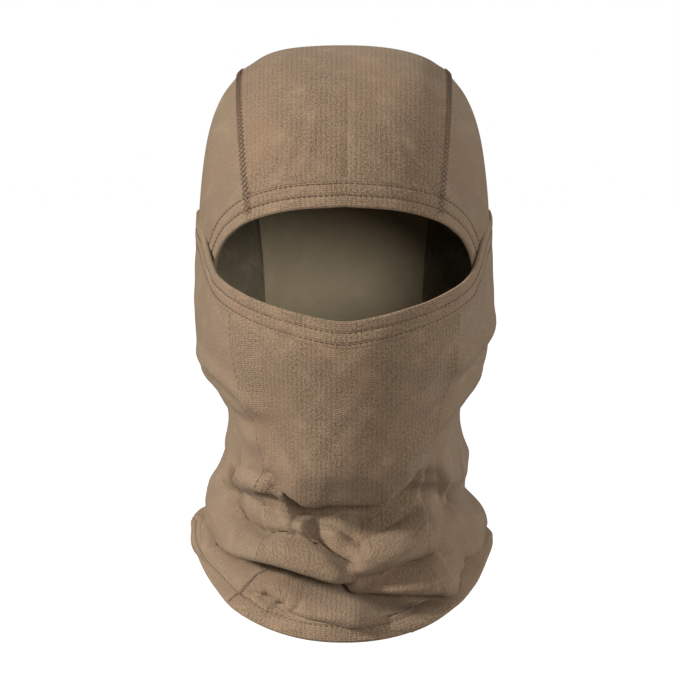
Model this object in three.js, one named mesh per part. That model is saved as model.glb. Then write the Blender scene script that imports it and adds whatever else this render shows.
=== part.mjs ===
import * as THREE from "three";

// Driving dimensions, in millimetres. The origin is the middle of the wearer's head,
// between the ears. The face looks along -Y and +Z is up.
const halfWidth = 82;
const fabric = 1.2;
const foldedHem = 2.4;
const browHemSink = -1.2;
const outerHemSink = -0.8;
const thread = 0.7;
const layerGap = 0.35;
const panelGap = 0.8;
const browHemWidth = 16;
const maskHemWidth = 15;
const neckHemWidth = 12;
const rowNearEdge = 6.5;
const rowFarFromEdge = 13;
const threadRowWidth = 1.4;
const flatlockWidth = 5;
const maskLift = 2.9;
const neckSlope = 0.26;
const neckStart = -95;
const collarHeight = 26;
const backStep = 1.73;
const browAngle = 25;
const rearSeamAngle = 102;
const napeSeamAngle = 150;

const clamp = (value, low, high) => Math.min(high, Math.max(low, value));
const mix = (a, b, t) => a + (b - a) * t;
const radians = (degrees) => (degrees * Math.PI) / 180;

function step(from, to, value) {
  const t = clamp((value - from) / (to - from), 0, 1);
  return t * t * (3 - 2 * t);
}

// A smooth curve through [position, value] pairs.
function through(points) {
  const last = points.length - 1;
  const slope = points.map((point, i) => {
    const before = points[Math.max(0, i - 1)];
    const after = points[Math.min(last, i + 1)];
    return (after[1] - before[1]) / (after[0] - before[0]);
  });
  return (at) => {
    const position = clamp(at, points[0][0], points[last][0]);
    let i = 0;
    while (i < last - 1 && position > points[i + 1][0]) {
      i += 1;
    }
    const span = points[i + 1][0] - points[i][0];
    const t = (position - points[i][0]) / span;
    const squared = t * t;
    const cubed = squared * t;
    return (
      (2 * cubed - 3 * squared + 1) * points[i][1] +
      (cubed - 2 * squared + t) * span * slope[i] +
      (3 * squared - 2 * cubed) * points[i + 1][1] +
      (cubed - squared) * span * slope[i + 1]
    );
  };
}

// The hood over the skull: radius about the ears by angle from the face, up over the crown.
const crownRadius = through([[0, 100], [25, 107], [50, 119], [90, 130], [120, 127.5],
  [140, 119], [160, 107], [180, 99]]);
const crownSquareness = through([[0, 2.3], [30, 2.4], [90, 3.2], [180, 2.5]]);
const crownPanelHalf = through([[25, 52], [60, 57], [90, 58], [140, 54], [180, 47], [225, 44]]);
const cheekWidth = through([[-80, 64], [-60, 70], [-30, 78.5], [0, 82]]);
const hoodFaceDepth = through([[-80, 76], [-60, 82], [-30, 94], [0, 100]]);

// The outer layer below the ears: half widths and depths by height.
const frontWidth = through([[-205, 88], [-160, 86], [-150, 85.5], [-140, 80], [-124, 78.5],
  [-113, 74], [-105, 68], [-95, 65], [-78, 67], [-65, 73], [-50, 79.5], [-30, 84], [0, 85.8],
  [30, 84.2], [45, 84]]);
const rearWidth = through([[-205, 88], [-155, 87], [-140, 82], [-124, 75], [-105, 71],
  [-90, 70.5], [-60, 75], [-30, 79.5], [0, 82], [45, 82]]);
const frontDepth = through([[-205, 95], [-175, 93], [-150, 92], [-135, 86], [-122, 78],
  [-112, 84], [-100, 98], [-80, 107], [-55, 113], [-35, 117], [-17, 115.5], [0, 116.5], [45, 115]]);
const rearDepth = through([[-205, 88], [-155, 88], [-140, 81], [-125, 72], [-105, 63],
  [-90, 64], [-60, 75], [-30, 90], [0, 99], [45, 99]]);

// Lines across the outer layer by angle around the head: 0 is the nose and 90 an ear.
const maskTop = through([[0, -17.5], [20, -10.5], [38, -3], [54, 6.6], [62, 17], [72, 28],
  [90, 36], [102, 38]]);
const maskFold = through([[0, -62], [45, -56], [102, -30]]);
const frontSeamAngle = through([[-205, 47], [-190, 46], [-150, 34], [-110, 39], [-60, 46],
  [10, 46]]);
const hemHeight = (y) => (y < 0 ? -151 - 49 * (-y / 95) ** 1.25 : -151 - 3 * (y / 88));
const neckLine = (level, y) => level + neckSlope * y;

function hoodPoint(x, station) {
  const angle = Math.min(station, 180);
  const square = crownSquareness(angle);
  const below = Math.max(0, station - 180) * backStep;
  const wide = below > 0 ? rearWidth(-below) : halfWidth;
  const shrink = (1 - (Math.abs(x) / wide) ** square) ** (1 / square);
  if (below > 0) {
    return new THREE.Vector3(x, rearDepth(-below) * shrink, -below);
  }
  const radius = crownRadius(angle) * shrink;
  return new THREE.Vector3(x, -radius * Math.cos(radians(angle)), radius * Math.sin(radians(angle)));
}

// Moves a point onto the hood, whose sides are the only part not laid out by station.
function onHood(point) {
  const across = Math.abs(point.x);
  if (point.z >= 0) {
    const radius = Math.hypot(point.y, point.z);
    const angle = clamp((Math.atan2(point.z, -point.y) * 180) / Math.PI, 0, 180);
    const square = crownSquareness(angle);
    const size = ((across / halfWidth) ** square + (radius / crownRadius(angle)) ** square) **
      (1 / square);
    return point.clone().divideScalar(size);
  }
  const wide = mix(cheekWidth(point.z), rearWidth(point.z), step(-20, 20, point.y));
  const deep = point.y < 0 ? hoodFaceDepth(point.z) : rearDepth(point.z);
  const square = crownSquareness(point.y < 0 ? 0 : 180);
  const size = ((across / wide) ** square + (Math.abs(point.y) / deep) ** square) ** (1 / square);
  return new THREE.Vector3(point.x / size, point.y / size, point.z);
}

function outerPoint(angle, height) {
  const turn = radians(angle);
  const toRear = step(70, 105, Math.abs(angle));
  const square = mix(2.15, 2.5, toRear);
  const lift = maskLift * step(-116, -100, height) * (1 - step(103, 118, Math.abs(angle)));
  const wide = mix(frontWidth(height), rearWidth(height) + lift, toRear);
  const ahead = Math.cos(turn) > 0;
  const deep = ahead ? frontDepth(height) : rearDepth(height) + lift;
  const across = Math.abs(Math.sin(turn)) ** (2 / square) * Math.sign(Math.sin(turn));
  const along = Math.abs(Math.cos(turn)) ** (2 / square) * (ahead ? -1 : 1);
  return new THREE.Vector3(wide * across, deep * along, height);
}

// A sloping line around the outer layer, given as a height that depends on y.
function outerOnLine(angle, heightAt) {
  let height = heightAt(0);
  for (let pass = 0; pass < 12; pass += 1) {
    height = mix(height, heightAt(outerPoint(angle, height).y), 0.7);
  }
  return height;
}

const gatherTop = (angle) => outerOnLine(angle, (y) => neckLine(neckStart, y));
const neckEdge = (angle) => outerOnLine(angle, hemHeight);
const collarTop = (angle) => outerOnLine(angle, (y) => hemHeight(y) + collarHeight);

const brushed = { roughness: 0.9, metalness: 0 };
const cloths = {
  textured: new THREE.MeshStandardMaterial({ color: 0x957a60, ...brushed }),
  smooth: new THREE.MeshStandardMaterial({ color: 0xa58b6f, ...brushed }),
  hem: new THREE.MeshStandardMaterial({ color: 0x9a8066, ...brushed }),
  sewing: new THREE.MeshStandardMaterial({ color: 0x4d3a2b, ...brushed }),
};

const group = new THREE.Group();
group.name = "balaclava";

function outwardNormal(place, u, v) {
  const reach = 1e-3;
  const u0 = Math.max(0, u - reach);
  const u1 = Math.min(1, u + reach);
  const v0 = Math.max(0, v - reach);
  const v1 = Math.min(1, v + reach);
  const alongU = place(u1, v).sub(place(u0, v));
  const alongV = place(u, v1).sub(place(u, v0));
  const normal = alongU.cross(alongV).normalize();
  const here = place(u, v);
  const middle = new THREE.Vector3(0, 0, clamp(here.z, -200, 30));
  return normal.dot(here.sub(middle)) < 0 ? normal.negate() : normal;
}

// Triangles of a closed sheet: place(u, v) is its surface, and it lies between two heights
// above that surface. A ring closes on itself in u.
function sheet(name, cloth, place, cells, thickness, lift = 0, ring = false) {
  const [across, along] = cells;
  const columns = ring ? across : across + 1;
  const positions = [];
  for (const height of [lift, lift + thickness]) {
    for (let j = 0; j <= along; j += 1) {
      for (let i = 0; i < columns; i += 1) {
        const u = i / across;
        const v = j / along;
        const spot = place(u, v).addScaledVector(outwardNormal(place, u, v), height);
        positions.push(spot.x, spot.y, spot.z);
      }
    }
  }
  const layer = columns * (along + 1);
  const at = (i, j, k) => k * layer + j * columns + (i % columns);
  const faces = [];
  const quad = (a, b, c, d) => faces.push(a, b, c, a, c, d);
  for (let i = 0; i < across; i += 1) {
    for (let j = 0; j < along; j += 1) {
      quad(at(i, j, 1), at(i + 1, j, 1), at(i + 1, j + 1, 1), at(i, j + 1, 1));
      quad(at(i, j, 0), at(i, j + 1, 0), at(i + 1, j + 1, 0), at(i + 1, j, 0));
    }
    quad(at(i, 0, 0), at(i + 1, 0, 0), at(i + 1, 0, 1), at(i, 0, 1));
    quad(at(i, along, 1), at(i + 1, along, 1), at(i + 1, along, 0), at(i, along, 0));
  }
  if (!ring) {
    for (let j = 0; j < along; j += 1) {
      quad(at(0, j, 1), at(0, j + 1, 1), at(0, j + 1, 0), at(0, j, 0));
      quad(at(across, j, 0), at(across, j + 1, 0), at(across, j + 1, 1), at(across, j, 1));
    }
  }
  const corner = (index) => new THREE.Vector3().fromArray(positions, index * 3);
  let volume = 0;
  for (let f = 0; f < faces.length; f += 3) {
    volume += corner(faces[f]).dot(corner(faces[f + 1]).cross(corner(faces[f + 2])));
  }
  const geometry = new THREE.BufferGeometry();
  geometry.setAttribute("position", new THREE.Float32BufferAttribute(positions, 3));
  geometry.setIndex(volume < 0 ? faces.reverse() : faces);
  geometry.computeVertexNormals();
  const mesh = new THREE.Mesh(geometry, cloths[cloth]);
  mesh.name = name;
  group.add(mesh);
}

// The edge of the face opening: from the brow's middle out to the temple and down the cheek.
const faceEdgeX = through([[0, 0], [0.2, 30], [0.36, 52], [0.48, 64], [0.56, 69.5], [0.64, 72],
  [0.74, 72.5], [0.86, 70], [1, 65]]);
const faceEdgeZ = through([[0, 45], [0.2, 42.5], [0.36, 36], [0.48, 27], [0.56, 18], [0.64, 8],
  [0.74, -12], [0.86, -36], [1, -62]]);

function frontOfHood(x, z) {
  let y = -80;
  for (let pass = 0; pass < 30; pass += 1) {
    const found = onHood(new THREE.Vector3(x, y, z));
    y += (found.y - y) * 0.5 + (Math.abs(found.x) - Math.abs(x)) * -0.35;
  }
  return new THREE.Vector3(x, y, z);
}

// A point on the brow hem: along runs from the left cheek to the right, inward is the
// distance from the edge.
function browPoint(along, inward) {
  const signed = along * 2 - 1;
  const side = Math.sign(signed) || 1;
  const edgeAt = (t) => {
    const spot = frontOfHood(faceEdgeX(Math.abs(t)), faceEdgeZ(Math.abs(t)));
    spot.x *= Math.sign(t) || 1;
    return onHood(spot);
  };
  const here = edgeAt(signed);
  const tangent = edgeAt(signed + 0.01 * -side).sub(here).multiplyScalar(-side).normalize();
  const middle = new THREE.Vector3(0, 0, 0);
  const radial = here.clone().sub(middle).normalize();
  const away = tangent.cross(radial).normalize();
  const up = new THREE.Vector3(0, 0.7, 1);
  const sense = away.dot(up) < 0 ? -1 : 1;
  return onHood(here.addScaledVector(away, sense * inward));
}

const mirrored = (point, side) => new THREE.Vector3(point.x * side, point.y, point.z);
const sides = [["left", -1], ["right", 1]];
const crownEnd = 180 + (-neckLine(neckStart, 68) - panelGap) / backStep;

// Where the line just above the brow hem crosses a given x, as the hem's own position.
function aboveBrow(x) {
  let along = 0.5 + (x / 52) * 0.17;
  for (let pass = 0; pass < 12; pass += 1) {
    along += (x - browPoint(along, browHemWidth + panelGap).x) / 330;
  }
  return along;
}

function stationAboveBrow(x) {
  const spot = browPoint(aboveBrow(x), browHemWidth + panelGap);
  return (Math.atan2(spot.z, -spot.y) * 180) / Math.PI;
}

const seamStart = stationAboveBrow(crownPanelHalf(browAngle));

function crownPanel() {
  const place = (u, v) => {
    const across = u * 2 - 1;
    const station = mix(stationAboveBrow(across * crownPanelHalf(seamStart)), crownEnd, v);
    const half = crownPanelHalf(mix(seamStart, crownEnd, v)) - panelGap / 2;
    return hoodPoint(across * half, station);
  };
  sheet("crown_panel", "textured", place, [12, 26], fabric);
}

// One side of the hood, from the crown seam down to the cheek and the nape.
function hoodSide(name, side) {
  const seam = (station) => hoodPoint(crownPanelHalf(station) + panelGap / 2, station);
  const browEnd = aboveBrow(crownPanelHalf(seamStart) + panelGap / 2);
  const cheek = (t) => browPoint(mix(1, browEnd, t), browHemWidth + panelGap * (2 - t));
  const top = (t) => seam(mix(seamStart, napeSeamAngle, t));
  const rear = (t) => seam(mix(crownEnd, napeSeamAngle, t));
  const lowerZ = through([[-44, -62], [-20, -72], [5, -88], [15, -89.5], [40, -83], [70, -76]]);
  const cheekEnd = cheek(0);
  const rearEnd = rear(0);
  const bottom = (t) => {
    const y = mix(cheekEnd.y, rearEnd.y, t);
    const z = mix(mix(cheekEnd.z, lowerZ(y), step(0, 0.2, t)), rearEnd.z, step(0.8, 1, t));
    return new THREE.Vector3(mix(66, 44, step(0.5, 1, t)), y, z);
  };
  const place = (u, v) => {
    const blended = cheek(v).multiplyScalar(1 - u)
      .addScaledVector(rear(v), u)
      .addScaledVector(bottom(u), 1 - v)
      .addScaledVector(top(u), v)
      .addScaledVector(cheekEnd, -(1 - u) * (1 - v))
      .addScaledVector(rearEnd, -u * (1 - v))
      .addScaledVector(top(0), -(1 - u) * v)
      .addScaledVector(top(1), -u * v);
    return mirrored(onHood(onHood(blended)), side);
  };
  sheet(name, "smooth", place, [18, 18], fabric);
}

function browHem() {
  sheet("brow_hem", "hem", (u, v) => browPoint(u, v * browHemWidth), [48, 2], foldedHem,
    browHemSink);
}

function browStitches(name, inward) {
  const place = (u, v) => browPoint(mix(0.2, 0.8, u), inward + (v - 0.5) * threadRowWidth);
  sheet(name, "sewing", place, [40, 1], thread, foldedHem + browHemSink + layerGap);
}

function crownSeam(name, side) {
  const place = (u, v) => {
    const station = mix(seamStart + 1.5, crownEnd, v);
    return hoodPoint(side * (crownPanelHalf(station) + (u - 0.5) * flatlockWidth), station);
  };
  sheet(name, "sewing", place, [2, 34], thread, fabric + layerGap);
}

// A panel of the outer layer between two angles and two heights, each given by a function.
function outerPanel(name, cloth, angles, heights, cells) {
  const [fromAngle, toAngle] = angles;
  const [lower, upper] = heights;
  const place = (u, v) => {
    const guess = mix(fromAngle(lower(45)), toAngle(lower(45)), u);
    let angle = guess;
    let height = mix(lower(angle), upper(angle), v);
    for (let pass = 0; pass < 4; pass += 1) {
      angle = mix(fromAngle(height), toAngle(height), u);
      height = mix(lower(angle), upper(angle), v);
    }
    return outerPoint(angle, height);
  };
  sheet(name, cloth, place, cells, fabric);
}

const seamGapAngle = 0.25;
const frontRight = (height) => frontSeamAngle(height) - seamGapAngle;
const frontLeft = (height) => -frontRight(height);
const sideFront = (height) => frontSeamAngle(height) + seamGapAngle;
const underHem = (angle) => maskTop(Math.abs(angle)) - maskHemWidth - panelGap;
const foldAbove = (angle) => maskFold(Math.abs(angle)) + panelGap / 2;
const foldBelow = (angle) => maskFold(Math.abs(angle)) - panelGap / 2;
const neckAbove = (angle) => gatherTop(angle) + panelGap / 2;
const neckBelow = (angle) => gatherTop(angle) - panelGap / 2;
const collarAbove = (angle) => collarTop(angle) + panelGap / 2;
const collarBelow = (angle) => collarTop(angle) - panelGap / 2;
const overHem = (angle) => neckEdge(angle) + neckHemWidth + panelGap * 1.5;

// Turns a right-hand panel's angles over for the left.
function sideAngles(side, near, far) {
  return [(height) => side * near(height), (height) => side * far(height)];
}

function mask() {
  const around = (u) => mix(-rearSeamAngle, rearSeamAngle, u);
  const hem = (u, v) => outerPoint(around(u), maskTop(Math.abs(around(u))) - v * maskHemWidth);
  sheet("mask_hem", "hem", hem, [48, 2], foldedHem, outerHemSink);
  const rows = [["mask_stitches_upper", rowNearEdge], ["mask_stitches_lower", rowFarFromEdge]];
  for (const [name, down] of rows) {
    const row = (u, v) => {
      const drop = down + (v - 0.5) * threadRowWidth;
      return outerPoint(around(u), maskTop(Math.abs(around(u))) - drop);
    };
    sheet(name, "sewing", row, [48, 1], thread, foldedHem + outerHemSink + layerGap);
  }
  outerPanel("mask_front_panel", "textured", [frontLeft, frontRight], [foldAbove, underHem], [14, 5]);
  outerPanel("chin_panel", "textured", [frontLeft, frontRight], [neckAbove, foldBelow], [14, 6]);
  for (const [label, side] of sides) {
    const angles = sideAngles(side, sideFront, () => rearSeamAngle);
    outerPanel(`mask_side_${label}`, "smooth", angles, [foldAbove, underHem], [9, 6]);
    outerPanel(`jaw_panel_${label}`, "smooth", angles, [neckAbove, foldBelow], [9, 6]);
    frontSeam(`mask_seam_${label}`, side, foldAbove, underHem, 8);
    maskSideSeam(`mask_side_seam_${label}`, side);
  }
}

function frontSeam(name, side, lower, upper, rows) {
  const place = (u, v) => {
    const height = mix(lower(45), upper(45), mix(0.02, 0.98, v));
    return outerPoint(side * (frontSeamAngle(height) + mix(-0.6, 0.6, u)), height);
  };
  sheet(name, "sewing", place, [1, rows], thread, fabric + layerGap * 2);
}

// The row that holds the mask's rear edge to the hood, just behind that edge.
function maskSideSeam(name, side) {
  const place = (u, v) => {
    const height = mix(-80, 36, v);
    const edge = outerPoint(rearSeamAngle, height);
    return mirrored(onHood(onHood(edge.setY(edge.y + mix(2, 4, u)))), side);
  };
  sheet(name, "sewing", place, [1, 14], thread, fabric + layerGap);
}

function neck() {
  const rearAngle = () => napeSeamAngle - seamGapAngle;
  const nape = () => napeSeamAngle + seamGapAngle;
  const napeFar = () => 360 - napeSeamAngle - seamGapAngle;
  const zones = [["neck", [collarAbove, neckBelow], 5], ["collar", [overHem, collarBelow], 2]];
  for (const [zone, heights, rows] of zones) {
    outerPanel(`${zone}_front_panel`, "textured", [frontLeft, frontRight], heights, [12, rows]);
    outerPanel(`${zone}_back_panel`, "textured", [nape, napeFar], heights, [8, rows]);
    for (const [label, side] of sides) {
      const angles = sideAngles(side, sideFront, rearAngle);
      outerPanel(`${zone}_side_${label}`, "smooth", angles, heights, [18, rows]);
      frontSeam(`${zone}_seam_${label}`, side, heights[0], heights[1], 8);
    }
  }
  const around = (u) => mix(-180, 180, u);
  const hem = (u, v) => outerPoint(around(u), neckEdge(around(u)) + v * neckHemWidth);
  sheet("neck_hem", "hem", hem, [56, 2], foldedHem, outerHemSink, true);
  const row = (u, v) => {
    const up = neckHemWidth - 3 + (v - 0.5) * threadRowWidth;
    return outerPoint(around(u), neckEdge(around(u)) + up);
  };
  sheet("neck_hem_stitches", "sewing", row, [56, 1], thread, foldedHem + outerHemSink + layerGap, true);
}

crownPanel();
browHem();
browStitches("brow_stitches_lower", rowNearEdge);
browStitches("brow_stitches_upper", rowFarFromEdge);
for (const [label, side] of sides) {
  hoodSide(`hood_side_${label}`, side);
  crownSeam(`crown_seam_${label}`, side);
}
mask();
neck();

export default group;
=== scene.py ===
import math

import bmesh
import bpy
import numpy as np
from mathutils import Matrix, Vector


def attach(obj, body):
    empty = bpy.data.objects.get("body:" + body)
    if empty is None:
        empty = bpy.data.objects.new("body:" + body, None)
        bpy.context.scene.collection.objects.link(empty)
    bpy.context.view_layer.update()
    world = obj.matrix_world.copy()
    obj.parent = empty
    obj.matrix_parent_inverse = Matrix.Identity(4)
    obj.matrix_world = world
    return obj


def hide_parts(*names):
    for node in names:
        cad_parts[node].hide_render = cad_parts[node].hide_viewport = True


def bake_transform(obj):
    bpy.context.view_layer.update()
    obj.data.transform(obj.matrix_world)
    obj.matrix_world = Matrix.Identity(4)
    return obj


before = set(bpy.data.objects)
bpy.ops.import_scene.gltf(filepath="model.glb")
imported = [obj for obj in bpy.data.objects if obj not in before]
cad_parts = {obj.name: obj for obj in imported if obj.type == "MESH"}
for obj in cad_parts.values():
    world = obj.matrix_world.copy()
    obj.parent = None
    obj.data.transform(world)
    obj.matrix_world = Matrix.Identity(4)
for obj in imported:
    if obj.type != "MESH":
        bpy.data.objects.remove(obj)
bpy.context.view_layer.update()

# Shapes are worked out in millimetres and written to the meshes in metres.
toMetres = 0.001
bothSides = (("left", -1), ("right", 1))


def clamp(value, low, high):
    return np.minimum(high, np.maximum(low, value))


def mixed(a, b, t):
    return a + (b - a) * t


def eased(start, end, value):
    t = clamp((value - start) / (end - start), 0, 1)
    return t * t * (3 - 2 * t)


def through(points):
    # a smooth curve through (position, value) pairs, for arrays
    at = np.array([p[0] for p in points], float)
    value = np.array([p[1] for p in points], float)
    before = np.r_[0, np.arange(len(at) - 1)]
    after = np.r_[np.arange(1, len(at)), len(at) - 1]
    slope = (value[after] - value[before]) / (at[after] - at[before])

    def curve(x):
        x = clamp(np.asarray(x, float), at[0], at[-1])
        i = np.clip(np.searchsorted(at, x, side="right") - 1, 0, len(at) - 2)
        span = at[i + 1] - at[i]
        t = (x - at[i]) / span
        flat = 2 * t**3 - 3 * t**2
        return ((flat + 1) * value[i] + (t**3 - 2 * t**2 + t) * span * slope[i]
                - flat * value[i + 1] + (t**3 - t**2) * span * slope[i + 1])

    return curve


def unit(vectors):
    return vectors / np.maximum(np.linalg.norm(vectors, axis=-1, keepdims=True), 1e-9)


print("shape of the worn hood")
hood = {
    "halfWidth": 82,
    # millimetres down the nape for each station past 180
    "backStep": 1.73,
    "radius": through([(0, 100), (25, 107), (50, 119), (90, 130), (120, 127.5), (140, 119),
                       (160, 107), (180, 99)]),
    "squareness": through([(0, 2.3), (30, 2.4), (90, 3.2), (180, 2.5)]),
    "panelHalf": through([(10, 49.5), (25, 52), (60, 57), (90, 58), (140, 54), (180, 47), (225, 44)]),
    "cheekWidth": through([(-80, 64), (-60, 70), (-30, 78.5), (0, 82)]),
    "faceDepth": through([(-80, 76), (-60, 82), (-30, 94), (0, 100)]),
    "edgeX": through([(0, 0), (0.2, 30), (0.36, 52), (0.48, 64), (0.56, 69.5), (0.64, 72),
                      (0.74, 72.5), (0.86, 70), (1, 65)]),
    "edgeZ": through([(0, 45), (0.2, 42.5), (0.36, 36), (0.48, 27), (0.56, 18), (0.64, 8),
                      (0.74, -12), (0.86, -36), (1, -62)]),
}
outer = {
    "frontWidth": through([(-205, 88), (-160, 86), (-150, 85.5), (-140, 80), (-124, 78.5),
                           (-113, 74), (-105, 68), (-95, 65), (-78, 67), (-65, 73), (-50, 79.5),
                           (-30, 84), (0, 85.8), (30, 84.2), (45, 84)]),
    "rearWidth": through([(-205, 88), (-155, 87), (-140, 82), (-124, 75), (-105, 71), (-90, 70.5),
                          (-60, 75), (-30, 79.5), (0, 82), (45, 82)]),
    "frontDepth": through([(-205, 95), (-175, 93), (-150, 92), (-135, 86), (-122, 78),
                           (-112, 84), (-100, 98), (-80, 107), (-55, 113), (-35, 117),
                           (-17, 115.5), (0, 116.5), (45, 115)]),
    "rearDepth": through([(-205, 88), (-155, 88), (-140, 81), (-125, 72), (-105, 63), (-90, 64),
                          (-60, 75), (-30, 90), (0, 99), (45, 99)]),
    "maskTop": through([(0, -17.5), (20, -10.5), (38, -3), (54, 6.6), (62, 17), (72, 28),
                        (90, 36), (102, 38)]),
    "frontSeam": through([(-205, 47), (-190, 46), (-150, 34), (-110, 39), (-60, 46), (10, 46)]),
    "squareness": {"front": 2.15, "rear": 2.5},
    "rearFrom": (70, 105),
    # how far the mask stands off the hood, the heights over which that starts, and the share
    # of it that is lost towards the sewn rear edge, where the mask sinks into the hood
    "maskLift": 2.9,
    "liftFrom": (-116, -100),
    "rearHug": 1.2,
    "hugFrom": (96, 102),
    "rearSeam": 102,
    "napeSeam": 150,
    "neckStart": -95,
    "neckSlope": 0.26,
    "hemEdge": {"rear": -151, "front": 47, "frontDepth": 95, "curve": 1.25, "dip": 3,
                "rearDepth": 88},
}
cloth = {"thick": 1.2, "hemThick": 2.4, "browHem": 16, "maskHem": 15, "neckHem": 12}


def fromFront(angle):
    # degrees away from the face, to either side
    return np.abs((angle + 180) % 360 - 180)


def hoodPoint(x, station):
    x, station = np.broadcast_arrays(np.asarray(x, float), np.asarray(station, float))
    angle = np.minimum(station, 180)
    square = hood["squareness"](angle)
    below = np.maximum(0, station - 180) * hood["backStep"]
    wide = np.where(below > 0, outer["rearWidth"](-below), hood["halfWidth"])
    shrink = np.maximum(0, 1 - (np.abs(x) / wide)**square)**(1 / square)
    radius = hood["radius"](angle) * shrink
    turn = np.radians(angle)
    y = np.where(below > 0, outer["rearDepth"](-below) * shrink, -radius * np.cos(turn))
    z = np.where(below > 0, -below, radius * np.sin(turn))
    return np.stack([x, y, z], -1)


def onHood(point):
    # moves points onto the hood's own surface
    x, y, z = np.abs(point[..., 0]), point[..., 1], point[..., 2]
    radius = np.hypot(y, z)
    angle = clamp(np.degrees(np.arctan2(z, -y)), 0, 180)
    square = hood["squareness"](angle)
    upper = ((x / hood["halfWidth"])**square + (radius / hood["radius"](angle))**square)**(1 / square)
    wide = mixed(hood["cheekWidth"](z), outer["rearWidth"](z), eased(-20, 20, y))
    deep = np.where(y < 0, hood["faceDepth"](z), outer["rearDepth"](z))
    square = np.where(y < 0, hood["squareness"](0), hood["squareness"](180))
    lower = ((x / wide)**square + (np.abs(y) / deep)**square)**(1 / square)
    high = z >= 0
    size = np.where(high, upper, lower)
    return np.stack([point[..., 0] / size, y / size, np.where(high, z / size, z)], -1)


def outerBase(angle, height):
    angle, height = np.broadcast_arrays(np.asarray(angle, float), np.asarray(height, float))
    turn = np.radians(angle)
    toRear = eased(*outer["rearFrom"], np.abs(angle))
    square = mixed(outer["squareness"]["front"], outer["squareness"]["rear"], toRear)
    loose = 1 - outer["rearHug"] * eased(*outer["hugFrom"], fromFront(angle))
    lift = outer["maskLift"] * eased(*outer["liftFrom"], height) * loose
    wide = mixed(outer["frontWidth"](height), outer["rearWidth"](height) + lift, toRear)
    ahead = np.cos(turn) > 0
    deep = np.where(ahead, outer["frontDepth"](height), outer["rearDepth"](height) + lift)
    across = np.abs(np.sin(turn))**(2 / square) * np.sign(np.sin(turn))
    along = np.abs(np.cos(turn))**(2 / square) * np.where(ahead, -1, 1)
    return np.stack([wide * across, deep * along, height], -1)


def outerOnLine(angle, heightAt):
    # the height at which a sloping line crosses each angle
    height = np.full(np.shape(angle), float(heightAt(0)))
    for _ in range(12):
        height = mixed(height, heightAt(outerBase(angle, height)[..., 1]), 0.7)
    return height


def hemHeight(y):
    # the neck hem's edge dips a little behind and a lot in front
    edge = outer["hemEdge"]
    ahead = np.maximum(0, -y) / edge["frontDepth"]
    behind = np.maximum(0, y) / edge["rearDepth"]
    return edge["rear"] - edge["front"] * ahead**edge["curve"] - edge["dip"] * behind


def neckTop(angle):
    return outerOnLine(angle, lambda y: outer["neckStart"] + outer["neckSlope"] * y)


def neckEdge(angle):
    return outerOnLine(angle, hemHeight)


# The outer layer's folds. Every line runs through (angle, height) places, and a width or a
# height changes along it as (share of the length, millimetres).
degreeWidth = 1.48
folding = {
    "linePlaces": 48,          # places at which each line is followed
    "rollEnd": 0.1,            # share of a roll's length over which each end is rounded
    "recess": 8,               # depth of the cloth between the rolls
    "recessAround": (70, 100),
    "recessBelow": (-108, -120),
    "recessAbove": (-172, -182),
    "waves": 0.16,
    "foldEnd": 0.18,
    "foldTop": 0.35,
    "foldTopWide": 0.55,
    "creaseWide": 2.6,
    "lipFollows": 0.85,        # share of its drop by which a fold starts higher
    "ridgeEnd": 0.3,
}
# rolls of slack cloth lying against each other, which leave creases where they meet
rolls = [
    {"line": [(-104, -108), (-92, -115), (-80, -122), (-70, -128), (-59, -136), (-46, -141),
              (-33, -143.5), (-20, -146), (-10, -149.5), (-2, -154), (6, -158.5)],
     "wide": [(0, 10), (0.25, 12), (0.42, 9), (0.6, 7.5), (0.78, 9), (0.9, 8), (1, 5)],
     "high": [(0, 4), (0.3, 7), (0.6, 9.5), (0.85, 11.5), (1, 8)], "lean": 6.5},
    {"line": [(-23, -128), (-14, -131), (-7, -136), (-1, -144), (5, -150), (12, -148), (20, -143),
              (32, -137), (46, -130)],
     "wide": [(0, 3.5), (0.15, 6), (0.4, 8), (0.65, 10.5), (1, 12)],
     "high": [(0, 4), (0.15, 7), (0.5, 8.5), (0.8, 9), (1, 4)], "lean": 3.5},
    {"line": [(0, -167), (9, -163), (20, -161), (35, -160), (54, -160)],
     "wide": [(0, 3), (0.3, 6.5), (0.6, 10), (1, 13)],
     "high": [(0, 4), (0.3, 7), (0.7, 8.5), (1, 4)], "lean": 6},
    {"line": [(-66, -109), (-52, -112), (-40, -115), (-28, -119), (-20, -122)],
     "wide": [(0, 6), (0.5, 7), (1, 5)], "high": [(0, 4), (0.5, 5), (1, 4)], "lean": 1.5},
    {"line": [(-60, -120), (-52, -124), (-44, -126), (-36, -126)],
     "wide": [(0, 5), (0.5, 6), (1, 5)], "high": [(0, 3.5), (0.5, 5.5), (1, 3)], "lean": 1},
    {"line": [(-40, -128), (-30, -128), (-20, -131)],
     "wide": [(0, 5), (1, 5)], "high": [(0, 3), (0.5, 4.5), (1, 3)], "lean": 1},
    {"line": [(-112, -140), (-98, -144), (-84, -148), (-68, -154), (-56, -161), (-46, -168),
              (-38, -173)],
     "wide": [(0, 7), (0.5, 7), (1, 5)], "high": [(0, 4), (0.5, 6), (1, 3)], "lean": 1.5},
    {"line": [(-40, -165), (-28, -169), (-14, -176), (4, -181), (22, -186), (44, -186)],
     "wide": [(0, 5), (0.4, 7), (1, 6)], "high": [(0, 4), (0.5, 4), (1, 3)], "lean": 1},
]
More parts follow.
